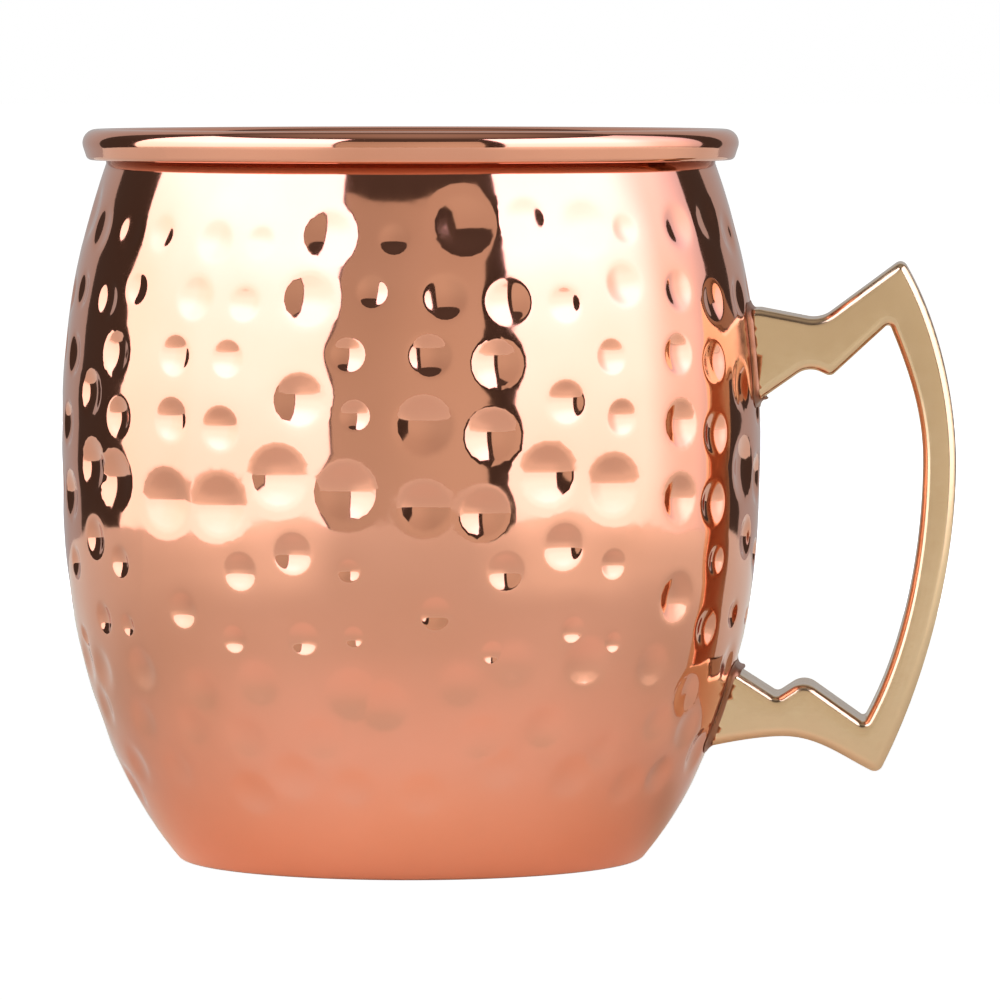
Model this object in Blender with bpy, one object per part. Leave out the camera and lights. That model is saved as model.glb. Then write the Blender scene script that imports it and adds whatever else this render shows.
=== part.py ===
"""Hammered copper mug with a rolled rim and a cast brass handle.

Units are metres. The origin is the centre of the base, +Z is up, and the handle points along +X.
A profile is a list of (radius, height) pairs. The handle's outline is a list of (x, z) pairs.
"""

import math

import bmesh
import bpy
from mathutils import Vector
from mathutils.geometry import interpolate_bezier

MM = 0.001

# Clearance left between touching pieces
GAP = 0.3 * MM

# Copper body: one spun sheet, widest at the belly, with a flat base
BODY_HEIGHT = 100 * MM
BELLY_RADIUS = 48 * MM
BELLY_HEIGHT = 56.5 * MM
NECK_RADIUS = 41.7 * MM
NECK_HEIGHT = 95.3 * MM
NECK_LEAN = math.radians(20)
SHOULDER_PULL = 14 * MM
SKIRT_PULL = 22.5 * MM
SKIRT_END_PULL = 18.8 * MM
SKIRT_LEAN = math.radians(39.5)
BASE_RADIUS = 31.2 * MM
BASE_CORNER = 1.2 * MM
WALL = 1.0 * MM

# Rim: the sheet's edge rolled outwards over a wire
WIRE_RADIUS = 0.8 * MM
CURL_RADIUS = WIRE_RADIUS + GAP
BEAD_RADIUS = CURL_RADIUS + WALL
BEAD_CENTRE = (NECK_RADIUS + CURL_RADIUS, BODY_HEIGHT - BEAD_RADIUS)
CURL_END = math.radians(-110)

# Tinned lining over the inside
LINING = 0.4 * MM

# Cast brass handle: (x, z) of its corners, and the pulls of the curves between them
HANDLE_THICKNESS = 14 * MM
HANDLE_EDGE = 0.8 * MM
GRIP_REACH = 74.65 * MM
GRIP_WIDTH = 4.5 * MM
GRIP_HEIGHT = 54.5 * MM
GRIP_OUTER = (GRIP_REACH, GRIP_HEIGHT)
GRIP_INNER = (GRIP_REACH - GRIP_WIDTH, GRIP_HEIGHT)
GRIP_OUTER_UP, GRIP_OUTER_DOWN = 9.4 * MM, 13.9 * MM
GRIP_INNER_UP, GRIP_INNER_DOWN = 7.1 * MM, 11 * MM
PEAK, PEAK_RADIUS = (67.3 * MM, 82.3 * MM), 1.0 * MM
PEAK_PULL, PEAK_LEAN = 8.8 * MM, math.radians(-58)
TIP, TIP_RADIUS = (64.2 * MM, 12.2 * MM), 1.2 * MM
TIP_PULL, TIP_LEAN = 13.9 * MM, math.radians(62.5)
APEX, APEX_PULL, APEX_LEAN = (65.5 * MM, 73.7 * MM), 7.1 * MM, math.radians(-67.5)
CROOK, CROOK_PULL, CROOK_LEAN = (62.2 * MM, 19.2 * MM), 11.8 * MM, math.radians(61)
INNER_CORNER_RADIUS = 0.5 * MM
FOOT_END = 36 * MM
DIP, DIP_RADIUS, DIP_END = (56.1 * MM, 74.0 * MM), 4 * MM, (48 * MM, 75.55 * MM)
HOLLOW, HOLLOW_RADIUS = (54.5 * MM, 67.8 * MM), 3.1 * MM
CUSP, CUSP_RADIUS = (57.6 * MM, 66.4 * MM), 1.0 * MM
KNUCKLE, KNUCKLE_RADIUS = (54 * MM, 25 * MM), 2.7 * MM
NOTCH, NOTCH_RADIUS = (50.3 * MM, 22.6 * MM), 1.0 * MM
ARCH, ARCH_START = (51.2 * MM, 17.3 * MM), (41 * MM, 15.85 * MM)
ARCH_PULLS = (4 * MM, 5.2 * MM)
ARCH_TIP_PULL, ARCH_TIP_LEAN = 4.8 * MM, math.radians(156.5)
UPPER_FOOT_END = ((FOOT_END, 75.6 * MM), (FOOT_END, 54.8 * MM))
LOWER_FOOT_END = ((FOOT_END, 31.7 * MM), (FOOT_END, 15.2 * MM))

# Brazed seams between the handle's feet and the wall
SEAM = 0.4 * MM
SEAM_LIP = 0.9 * MM
SEAM_CORNER = 1.6 * MM
SEAT = GAP + SEAM + GAP
UPPER_FOOT = (63.0 * MM, 75.6 * MM)
LOWER_FOOT = (15.9 * MM, 26.6 * MM)

# Mesh steps
TURN_STEPS = 48
WALL_STEPS = 8
GRIP_STEPS = 7
CORNER_STEPS = 3
EDGE_STEPS = 2
UNDER_CURL_STEPS = 8
OVER_CURL_STEPS = 10
WIRE_SIDES = 8
SEAM_RINGS = (1.0, 0.6, 0.2)
SEAM_SIDE_STEPS = 6
SMOOTH_ANGLE = math.radians(35)
MERGE_DISTANCE = 0.001 * MM

QUARTER = math.pi / 2

# Finishes: colour and roughness
COPPER = ((0.93, 0.46, 0.31), 0.08)
TIN = ((0.72, 0.71, 0.68), 0.25)
STEEL = ((0.55, 0.56, 0.57), 0.35)
BRASS = ((0.78, 0.60, 0.34), 0.15)
BRAZE = ((0.82, 0.52, 0.30), 0.3)


def clear_scene():
    """Remove every object that the scene starts with."""
    for item in list(bpy.data.objects):
        bpy.data.objects.remove(item, do_unlink=True)


def metal(name, finish):
    """Make a metallic material from a colour and a roughness."""
    colour, roughness = finish
    material = bpy.data.materials.new(name)
    material.use_nodes = True
    shader = material.node_tree.nodes["Principled BSDF"]
    shader.inputs["Base Color"].default_value = (*colour, 1.0)
    shader.inputs["Metallic"].default_value = 1.0
    shader.inputs["Roughness"].default_value = roughness
    return material


def add_object(name, bm, material=None):
    """Turn a bmesh into a smooth-shaded object with its faces pointing out."""
    bmesh.ops.recalc_face_normals(bm, faces=bm.faces)
    mesh = bpy.data.meshes.new(name)
    bm.to_mesh(mesh)
    bm.free()
    mesh.shade_smooth()
    mesh.set_sharp_from_angle(angle=SMOOTH_ANGLE)
    if material:
        mesh.materials.append(material)
    item = bpy.data.objects.new(name, mesh)
    bpy.context.scene.collection.objects.link(item)
    return item


def pull(length, angle):
    """A curve handle's offset: its length, and its angle from the first axis."""
    return (length * math.cos(angle), length * math.sin(angle))


def curve(start, start_pull, end_pull, end, steps):
    """Points of a cubic Bezier curve, given the offsets of its two handles."""
    first, last = Vector((*start, 0)), Vector((*end, 0))
    handles = first + Vector((*start_pull, 0)), last + Vector((*end_pull, 0))
    return [tuple(point.xy) for point in interpolate_bezier(first, *handles, last, steps + 1)]


def arc(centre, radius, start, end, steps):
    """Points of a circular arc, both ends included."""
    angles = [start + (end - start) * step / steps for step in range(steps + 1)]
    return [(centre[0] + radius * math.cos(a), centre[1] + radius * math.sin(a)) for a in angles]


def fillet(before, corner, after, radius):
    """The arc that rounds a corner between two straight lines."""
    corner = Vector(corner)
    back = (Vector(before) - corner).normalized()
    ahead = (Vector(after) - corner).normalized()
    half = back.angle(ahead) / 2
    centre = corner + (back + ahead).normalized() * radius / math.sin(half)
    start = corner + back * radius / math.tan(half) - centre
    end = corner + ahead * radius / math.tan(half) - centre
    angle = math.atan2(start.y, start.x)
    return arc(centre, radius, angle, angle - start.angle_signed(end), CORNER_STEPS)


def offset_path(points, distance, closed=False):
    """Move a path to its left, with mitred corners."""
    count = len(points)
    lines = [(Vector(points[(i + 1) % count]) - Vector(points[i])).normalized() for i in range(count)]
    if not closed:
        lines[-1] = lines[-2]
    moved = []
    for index, point in enumerate(points):
        ahead = lines[index]
        back = lines[index - 1] if index or closed else ahead
        left_back, left_ahead = Vector((-back.y, back.x)), Vector((-ahead.y, ahead.x))
        mitre = (left_back + left_ahead) / (1 + left_back.dot(left_ahead))
        moved.append(tuple(Vector(point) + mitre * distance))
    return moved


def split_evenly(start, end, steps):
    """Points between two points, both left out."""
    return [tuple(Vector(start).lerp(Vector(end), step / steps)) for step in range(1, steps)]


def bridge(bm, ring, other):
    """Join two closed rings of vertices with quads."""
    for index in range(len(ring)):
        bm.faces.new((ring[index - 1], ring[index], other[index], other[index - 1]))


def lathe(name, path, material=None, closed=False):
    """Turn a profile around Z. An open one starts and ends on the axis."""
    bm = bmesh.new()
    verts = [bm.verts.new((radius, 0, height)) for radius, height in path]
    edges = [bm.edges.new(pair) for pair in zip(verts, verts[1:])]
    if closed:
        edges.append(bm.edges.new((verts[-1], verts[0])))
    bmesh.ops.spin(bm, geom=verts + edges, cent=(0, 0, 0), axis=(0, 0, 1), angle=math.tau,
                   steps=TURN_STEPS, use_merge=True)
    bmesh.ops.remove_doubles(bm, verts=bm.verts, dist=MERGE_DISTANCE)
    return add_object(name, bm, material)


def outer_profile():
    """The body's outside, from the centre of the base up to the neck."""
    corner = arc((BASE_RADIUS, BASE_CORNER), BASE_CORNER, -QUARTER, -SKIRT_LEAN, CORNER_STEPS)
    belly = (BELLY_RADIUS, BELLY_HEIGHT)
    skirt_end = pull(SKIRT_END_PULL, QUARTER - SKIRT_LEAN)
    skirt = curve(corner[-1], skirt_end, (0, -SKIRT_PULL), belly, WALL_STEPS)
    neck_end = pull(SHOULDER_PULL, NECK_LEAN - QUARTER)
    shoulder = curve(belly, (0, SHOULDER_PULL), neck_end, (NECK_RADIUS, NECK_HEIGHT), WALL_STEPS)
    return [(0, 0)] + corner + skirt[1:] + shoulder[1:]


def make_body_shell(material):
    """Base, wall and rolled rim in one sheet. The roll stays open along its tucked-in edge."""
    outside = outer_profile()
    inside = offset_path(outside, WALL)
    under_curl = arc(BEAD_CENTRE, CURL_RADIUS, math.pi, CURL_END, UNDER_CURL_STEPS)
    over_curl = arc(BEAD_CENTRE, BEAD_RADIUS, CURL_END, math.pi, OVER_CURL_STEPS)
    lathe("body_shell", outside + under_curl + over_curl + inside[::-1], material)


def make_rim_wire(material):
    """Stiffening wire inside the rolled rim."""
    section = arc(BEAD_CENTRE, WIRE_RADIUS, 0, math.tau, WIRE_SIDES)[:-1]
    lathe("rim_wire", section, material, closed=True)


def make_lining(material):
    """Thin lining over the whole inside, up to the start of the roll."""
    back = offset_path(outer_profile(), WALL + GAP)
    front = offset_path(outer_profile(), WALL + GAP + LINING)
    lathe("lining", back + front[::-1], material)


def grip_curves():
    """The bowed grip's outside, from the tip up to the peak, and its inside, back down."""
    outer_low = curve(TIP, pull(TIP_PULL, TIP_LEAN), (0, -GRIP_OUTER_DOWN), GRIP_OUTER, GRIP_STEPS)
    outer_high = curve(GRIP_OUTER, (0, GRIP_OUTER_UP), pull(PEAK_PULL, PEAK_LEAN), PEAK, GRIP_STEPS)
    inner_high = curve(APEX, pull(APEX_PULL, APEX_LEAN), (0, GRIP_INNER_UP), GRIP_INNER, GRIP_STEPS)
    inner_low = curve(GRIP_INNER, (0, -GRIP_INNER_DOWN), pull(CROOK_PULL, CROOK_LEAN), CROOK,
                      GRIP_STEPS)
    return outer_low[1:-1] + outer_high[:-1], inner_high[1:-1] + inner_low[:-1]


def lower_arch():
    """The hollow underside of the lower arm, from its foot to the tip."""
    rise = curve(ARCH_START, (0, 0), (-ARCH_PULLS[0], 0), ARCH, CORNER_STEPS)
    fall = curve(ARCH, (ARCH_PULLS[1], 0), pull(ARCH_TIP_PULL, ARCH_TIP_LEAN), TIP, GRIP_STEPS)
    return rise + fall[1:-1]


def handle_outline():
    """The handle seen from its side, anticlockwise, with its feet running on into the body."""
    outside, inside = grip_curves()
    path = [(LOWER_FOOT_END[1], 0)]
    path += [(point, 0) for point in lower_arch()]
    path += [(TIP, TIP_RADIUS)]
    path += [(point, 0) for point in outside]
    path += [(PEAK, PEAK_RADIUS), (DIP, DIP_RADIUS), (DIP_END, 0)]
    path += [(point, 0) for point in UPPER_FOOT_END]
    path += [(HOLLOW, HOLLOW_RADIUS), (CUSP, CUSP_RADIUS), (APEX, INNER_CORNER_RADIUS)]
    path += [(point, 0) for point in inside]
    path += [(CROOK, INNER_CORNER_RADIUS), (KNUCKLE, KNUCKLE_RADIUS), (NOTCH, NOTCH_RADIUS)]
    path += [(LOWER_FOOT_END[0], 0)]
    outline = []
    for index, (point, radius) in enumerate(path):
        before, after = path[index - 1][0], path[(index + 1) % len(path)][0]
        outline += fillet(before, point, after, radius) if radius else [point]
    return outline


def make_handle(material, seat):
    """Flat-sided casting with rounded edges, cut to sit against the wall."""
    outline = handle_outline()
    half = HANDLE_THICKNESS / 2
    edge = arc((HANDLE_EDGE, half - HANDLE_EDGE), HANDLE_EDGE, QUARTER, math.pi, EDGE_STEPS)
    section = [(inset, -y) for inset, y in edge] + [(inset, y) for inset, y in edge[::-1]]
    bm = bmesh.new()
    rings = []
    for inset, y in section:
        points = offset_path(outline, inset, closed=True)
        rings.append([bm.verts.new((x, y, z)) for x, z in points])
    for ring, other in zip(rings, rings[1:]):
        bridge(bm, ring, other)
    for ring in (rings[0], rings[-1]):
        bm.faces.new(ring)
    handle = add_object("handle", bm, material)
    cut = handle.modifiers.new("seat", "BOOLEAN")
    cut.operation = "DIFFERENCE"
    cut.solver = "EXACT"
    cut.object = seat


def make_seat():
    """Cutter: the body's outside plus the room for a seam."""
    path = offset_path(outer_profile(), -SEAT)
    seat = lathe("seat_cutter", path + [(0, NECK_HEIGHT)])
    seat.hide_render = True
    seat.display_type = "WIRE"
    return seat


def wall_radius(clearance, height):
    """Radius of the wall's outside plus a clearance, at a height."""
    path = offset_path(outer_profile(), -clearance)
    for (radius, low), (next_radius, high) in zip(path, path[1:]):
        if low <= height <= high and high > low:
            return radius + (next_radius - radius) * (height - low) / (high - low)
    raise ValueError("no wall at this height")


def make_seam(name, foot, material):
    """Layer of braze between one foot and the wall, curved to the wall, with a lip all round."""
    low, high = foot[0] - SEAM_LIP, foot[1] + SEAM_LIP
    half = HANDLE_THICKNESS / 2 + SEAM_LIP
    middle = Vector((0, (low + high) / 2))
    corners = [(-half, low), (half, low), (half, high), (-half, high)]
    rounds = [fillet(corners[i - 1], corners[i], corners[(i + 1) % 4], SEAM_CORNER) for i in range(4)]
    outline = []
    for index, points in enumerate(rounds):
        outline += points + split_evenly(points[-1], rounds[(index + 1) % 4][0], SEAM_SIDE_STEPS)
    bm = bmesh.new()
    outer_rings = []
    for clearance in (GAP, GAP + SEAM):
        rings = []
        for scale in SEAM_RINGS:
            ring = []
            for point in outline:
                y, z = middle + (Vector(point) - middle) * scale
                x = math.sqrt(wall_radius(clearance, z) ** 2 - y ** 2)
                ring.append(bm.verts.new((x, y, z)))
            rings.append(ring)
        for ring, other in zip(rings, rings[1:]):
            bridge(bm, ring, other)
        bm.faces.new(rings[-1])
        outer_rings.append(rings[0])
    bridge(bm, *outer_rings)
    add_object(name, bm, material)


def main():
    clear_scene()
    make_body_shell(metal("copper", COPPER))
    make_lining(metal("tin", TIN))
    make_rim_wire(metal("steel", STEEL))
    make_handle(metal("brass", BRASS), make_seat())
    braze = metal("braze", BRAZE)
    make_seam("upper_braze_seam", UPPER_FOOT, braze)
    make_seam("lower_braze_seam", LOWER_FOOT, braze)


main()
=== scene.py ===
import math

import bmesh
import bpy
import numpy as np
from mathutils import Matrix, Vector
from mathutils.geometry import delaunay_2d_cdt


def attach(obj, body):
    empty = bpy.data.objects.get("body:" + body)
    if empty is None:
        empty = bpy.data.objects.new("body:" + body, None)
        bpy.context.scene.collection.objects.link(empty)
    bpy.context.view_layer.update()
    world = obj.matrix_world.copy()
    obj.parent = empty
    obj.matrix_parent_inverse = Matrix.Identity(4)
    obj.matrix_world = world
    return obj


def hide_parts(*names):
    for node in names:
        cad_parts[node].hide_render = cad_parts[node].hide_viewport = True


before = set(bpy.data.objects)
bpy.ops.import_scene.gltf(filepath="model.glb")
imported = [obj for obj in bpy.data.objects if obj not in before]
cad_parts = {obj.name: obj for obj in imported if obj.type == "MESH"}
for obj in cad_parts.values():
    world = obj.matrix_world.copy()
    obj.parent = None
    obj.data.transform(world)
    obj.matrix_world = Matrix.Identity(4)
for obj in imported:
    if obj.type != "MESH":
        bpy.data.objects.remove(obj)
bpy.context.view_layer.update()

rng = np.random.default_rng(7)

MM = 0.001
TAU = 2 * math.pi
SIDES = 192

# The body's outside, as in the CAD: belly, neck, base and rolled rim, in mm
BELLY = (48.0, 56.5)
NECK = (41.7, 95.3)
BASE_RADIUS, BASE_CORNER = 31.2, 1.2
BEAD_CENTRE, CURL_RADIUS = (42.8, 97.9), 1.1
CURL_END = -110         # where the curl round the wire ends, degrees
BEAD_FACE = -18         # lean of the roll's outer face, degrees
ROLL_TOP, ROLL_CROWN = (43.0, 98.1), 1.9    # centre and radius of the roll's top
ROLL_CORNER, ROLL_RUN = 0.8, 1.25           # radius of its lower corner, and how far down the face that lies
ROLL_BACK = (2.3, 2.1)                      # half-axes of its inner side
ROLL_TUCK = [(42.33, 96.25), (42.45, 96.02), (42.75, 95.9), (43.1, 95.82)]  # its edge, tucked in
BODY_WALL = 1.15
LINING_BACK, LINING_FRONT = 1.32, 1.7   # both faces of the lining, in from the smooth wall
LINING_SHARE = 0.8      # how much of a mark's depth shows on the inner side


# ---------------------------------------------------------------- curves, in mm

def arc(centre, radius, start, end, steps):
    a = np.radians(np.linspace(start, end, steps + 1))
    return np.stack([centre[0] + radius * np.cos(a), centre[1] + radius * np.sin(a)], 1)


def pull(length, angle):
    return np.array([length * math.cos(math.radians(angle)), length * math.sin(math.radians(angle))])


def curve(start, start_pull, end_pull, end, steps):
    start, end = np.array(start, float), np.array(end, float)
    t = np.linspace(0, 1, steps + 1)[:, None]
    a, b = start + start_pull, end + end_pull
    return (1 - t) ** 3 * start + 3 * (1 - t) ** 2 * t * a + 3 * (1 - t) * t * t * b + t ** 3 * end


def outer_profile():
    corner = arc((BASE_RADIUS, BASE_CORNER), BASE_CORNER, -90, -39.5, 24)
    skirt = curve(corner[-1], pull(18.8, 50.5), (0, -22.5), BELLY, 400)
    shoulder = curve(BELLY, (0, 14), pull(14, -70), NECK, 400)
    return np.concatenate([corner, skirt[1:], shoulder[1:]])


class Wall:
    """The smooth outside of the body by distance along its profile, in mm."""

    def __init__(self):
        path = outer_profile()
        step = np.hypot(*np.diff(path, axis=0).T)
        self.s = np.concatenate([[0], np.cumsum(step)])
        self.path = path
        slope = np.gradient(path, self.s, axis=0, edge_order=2)
        slope[0] = (1, 0)
        slope /= np.hypot(*slope.T)[:, None]
        self.out = np.stack([slope[:, 1], -slope[:, 0]], 1)
        self.end = self.s[-1]
        self.corner = self.s[24]

    def at(self, s):
        return (np.interp(s, self.s, self.path[:, 0]), np.interp(s, self.s, self.path[:, 1]),
                np.interp(s, self.s, self.out[:, 0]), np.interp(s, self.s, self.out[:, 1]))

    def s_of_height(self, z):
        return np.interp(z, self.path[24:, 1], self.s[24:])

    def radius(self, z):
        return np.interp(z, self.path[24:, 1], self.path[24:, 0])


wall = Wall()


# ---------------------------------------------------------------- hammer marks

# Columns of marks, repeated round the body: how far round the column stands in degrees,
# then (height, radius) of each mark
REPEATS = 8
COLUMNS_START = -18.5
COLUMNS = [
    (0.0, [(86.5, 3.1), (78.0, 3.2), (64.7, 3.4), (54.8, 4.0), (44.9, 2.6), (34.2, 2.0)]),
    (9.5, [(86.8, 2.1), (78.6, 2.2), (70.4, 2.1), (61.8, 2.1), (51.8, 3.8), (42.6, 2.0), (33.0, 1.5)]),
    (22.5, [(87.9, 3.8), (78.3, 2.8), (70.6, 2.8), (61.4, 3.4), (50.9, 3.4), (37.1, 2.3)]),
    (33.5, [(87.2, 2.8), (78.0, 2.8), (69.8, 3.0), (60.4, 3.0), (50.5, 3.6), (42.4, 2.2), (32.5, 1.8)]),
]
# Marks on the side that faces the camera, listed one by one: (turn from it in degrees, height, radius)
FACING = [
    (-51.8, 79.0, 2.1), (-56.0, 70.3, 3.2), (-54.3, 61.8, 2.7), (-55.6, 53.2, 4.0), (-54.7, 42.5, 2.1),
    (-34.7, 85.5, 2.6), (-37.5, 78.0, 2.9), (-40.8, 70.3, 2.8), (-41.1, 61.8, 2.9), (-42.4, 51.0, 4.0),
    (-39.9, 36.5, 2.4), (-25.6, 85.5, 1.9), (-27.6, 77.4, 2.3), (-30.2, 70.1, 2.5), (-31.2, 60.8, 2.9),
    (-31.5, 50.6, 4.0), (-27.9, 42.0, 2.4), (-13.4, 86.4, 3.3), (-16.3, 78.1, 3.4), (-17.3, 64.8, 3.5),
    (-20.9, 54.6, 4.1), (-18.5, 44.6, 2.6), (-2.2, 86.0, 1.9), (-5.7, 79.0, 2.1), (-9.6, 70.8, 2.3),
    (-8.3, 62.8, 2.0), (-9.6, 52.7, 3.8), (-9.3, 42.5, 1.5), (9.7, 87.9, 4.0), (6.2, 78.3, 3.0),
    (3.6, 70.7, 2.9), (2.7, 61.5, 3.9), (2.7, 50.8, 3.2), (4.6, 36.8, 2.2), (16.8, 77.7, 2.9),
    (14.6, 69.6, 3.3), (13.6, 60.1, 3.6), (12.3, 49.9, 3.2), (15.9, 42.3, 2.4), (14.2, 31.4, 1.5),
    (20.9, 88.4, 3.0), (26.7, 77.4, 2.4), (26.1, 64.4, 2.9), (22.9, 54.9, 4.0), (25.8, 45.4, 2.9),
    (38.6, 79.8, 2.9), (34.8, 70.3, 2.4), (36.4, 62.2, 2.4), (34.8, 53.2, 4.0), (35.1, 42.8, 1.9),
    (54.7, 87.2, 2.9), (51.5, 78.8, 2.9), (49.6, 70.3, 2.9), (49.6, 61.0, 3.3), (49.3, 51.0, 3.3),
    (49.9, 37.7, 3.3), (66.0, 88.1, 3.3), (62.1, 77.2, 2.9), (59.9, 68.9, 2.9), (59.6, 59.4, 3.1),
    (58.9, 50.1, 3.1), (60.8, 42.3, 2.1), (60.2, 33.2, 2.6),
]
FRONT = math.radians(-87)   # azimuth of the side that faces the camera

# The punch's ball and the roundness of the rim, by height and as shares of the mark's radius
PUNCH_HEIGHTS = [30, 38, 50, 62, 70, 78, 87]
PUNCH_BALLS = [2.1, 2.2, 2.3, 2.15, 2.2, 2.8, 4.2]
RIM_HEIGHTS, RIM_SOFTNESS = [33, 44], [0.042, 0.032]
MARK_SCALE = 0.97                # size of a mark in the sheet over its listed radius
DEEPEST = 1.6                    # about twice the depth a mark may have before the wide hollow is added
HALO, HALO_REACH = 0.045, 1.15   # the wide hollow round a mark, as shares of its radius: depth and reach
LOW_ROWS, LOW_COUNT, LOW_SOFTNESS = (27.5, 21.0, 14.0), 26, 0.11


def lean(z):
    """How far a column leans round the body at a height, in degrees."""
    up = 6.5 * max(0.0, (z - 66) / 22) ** 1.2
    low = 1.5 * math.exp(-((z - 42) / 7) ** 2)
    return up + low


def near_facing(turn, height):
    """Whether a mark would touch one of the listed ones."""
    return any(abs((turn - t + 180) % 360 - 180) * 0.8 < 6 and abs(height - h) < 6.5 for t, h, _ in FACING)


def hammer_marks():
    """(azimuth, s, radius, ball radius, edge softness) of every mark, in radians and mm."""
    found = list(FACING)
    for sector in range(REPEATS):
        for offset, column in COLUMNS:
            for z, a in column:
                turn = COLUMNS_START + 360 / REPEATS * sector + offset + lean(z) + rng.normal(0, 1.2)
                height = z + rng.normal(0, 0.7)
                radius = a * (1 + rng.uniform(-0.13, 0.13))
                if not near_facing(turn, height):
                    found.append((turn, height, radius))
    marks = []
    for turn, z, a in found:
        ball = a * max(np.interp(z, PUNCH_HEIGHTS, PUNCH_BALLS), a / DEEPEST)
        ball *= 1 + rng.uniform(-0.06, 0.06)
        soft = a * np.interp(z, RIM_HEIGHTS, RIM_SOFTNESS)
        marks.append((FRONT + math.radians(turn), wall.s_of_height(z), MARK_SCALE * a, ball, soft))
    for row, z in enumerate(LOW_ROWS):
        for k in range(LOW_COUNT):
            turn = (k + 0.5 * (row % 2)) * 360 / LOW_COUNT + rng.normal(0, 2.5)
            marks.append((math.radians(turn), wall.s_of_height(z + rng.normal(0, 1.6)),
                          rng.uniform(2.4, 3.4), rng.uniform(8, 11), LOW_SOFTNESS))
    return np.array(marks)


MARKS = hammer_marks()
# Slow waves in the sheet: (whole turns round, rate up the wall, phase, weight)
WAVES = [(int(rng.integers(4, 16)), rng.uniform(0.15, 0.55), rng.uniform(0, TAU), rng.uniform(0.4, 1.0))
         for _ in range(14)]
WAVE_SIZE = 0.010
BLEND = 7.0             # how sharply marks that overlap meet


def dent(theta, s):
    """How far the hammered face lies inside the smooth one, in mm, and its slopes along the turn and up."""
    radius = wall.at(s)[0]
    total, du, ds = np.zeros_like(s), np.zeros_like(s), np.zeros_like(s)
    wide, wide_du, wide_ds = np.zeros_like(s), np.zeros_like(s), np.zeros_like(s)
    for azimuth, s0, a, ball, soft in MARKS:
        across = (np.mod(theta - azimuth + math.pi, TAU) - math.pi) * radius
        up = s - s0
        near = (np.abs(across) < 4 * a) & (np.abs(up) < 4 * a)
        x, y = across[near], up[near]
        spread = (HALO_REACH * a) ** 2
        hollow = HALO * a * np.exp(-(x * x + y * y) / (2 * spread))
        wide[near] += hollow
        wide_du[near] -= hollow * x / spread
        wide_ds[near] -= hollow * y / spread
        m = (a * a - x * x - y * y) / (2 * ball)
        e = np.exp(np.clip(m / soft, -40, 40))
        f = soft * np.log1p(e)
        g = e / (1 + e)
        power = f ** (BLEND - 1)
        total[near] += power * f
        du[near] += power * g * -x / ball
        ds[near] += power * g * -y / ball
    d = total ** (1 / BLEND)
    scale = np.where(d > 1e-9, np.maximum(d, 1e-9) ** (1 - BLEND), 0)
    d, du, ds = d + wide, du * scale + wide_du, ds * scale + wide_ds
    z = wall.at(s)[1]
    low = np.clip((50 - z) / 40, 0, 1)
    top = np.clip((93 - z) / 6, 0, 1)
    size = WAVE_SIZE * (0.35 + low) * top * np.clip((z - 3) / 8, 0, 1)
    for turns, rate, phase, weight in WAVES:
        p = turns * theta + rate * s * (1 if turns % 2 else -1) + phase
        d = d + size * weight * np.sin(p)
        du = du + size * weight * np.cos(p) * turns / radius
        ds = ds + size * weight * np.cos(p) * rate * (1 if turns % 2 else -1)
    return d, du, ds


def place(theta, s, inset, d, du, ds):
    """Points and normals on the wall, moved in by inset and dented by d, in metres."""
    r, z, nr, nz = wall.at(s)
    depth = inset + d
    pr, pz = r - depth * nr, z - depth * nz
    c, q = np.cos(theta), np.sin(theta)
    points = np.stack([pr * c, pr * q, pz], 1) * MM
    n = np.stack([nr * c, nr * q, nz], 1)
    turn = np.stack([-q, c, 0 * c], 1)
    rise = np.stack([-nz * c, -nz * q, nr], 1)
    n = n + turn * du[:, None] + rise * ds[:, None]
    return points, n / np.linalg.norm(n, axis=1)[:, None]


# ---------------------------------------------------------------- hammered sheet

FLAT = 48.0             # the turn is laid out at this radius while points are joined up, mm
MARGIN = 20.0           # overlap at the turn's end
SPACING = 1.9           # of the loose grid
CELL = 0.1              # points that share one are the same
# Rings of points in a mark: (share of its radius, points, turned half a step). Round the rim they line up.
RINGS = ((0.0, 1, 0), (0.28, 9, 0), (0.5, 15, 1), (0.68, 21, 0), (0.81, 26, 0), (0.89, 26, 0), (0.95, 26, 0),
         (1.01, 26, 0), (1.07, 26, 0), (1.14, 26, 0), (1.23, 26, 0), (1.35, 26, 0), (1.52, 20, 1),
         (1.72, 16, 0))
# Fewer for marks with a rim rounder than this: the low rows and the widest marks
SOFT_RIM = 0.1
SOFT_RINGS = ((0.0, 1, 0), (0.3, 7, 0), (0.6, 12, 1), (0.9, 15, 0), (1.2, 17, 1), (1.5, 16, 0))


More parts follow.
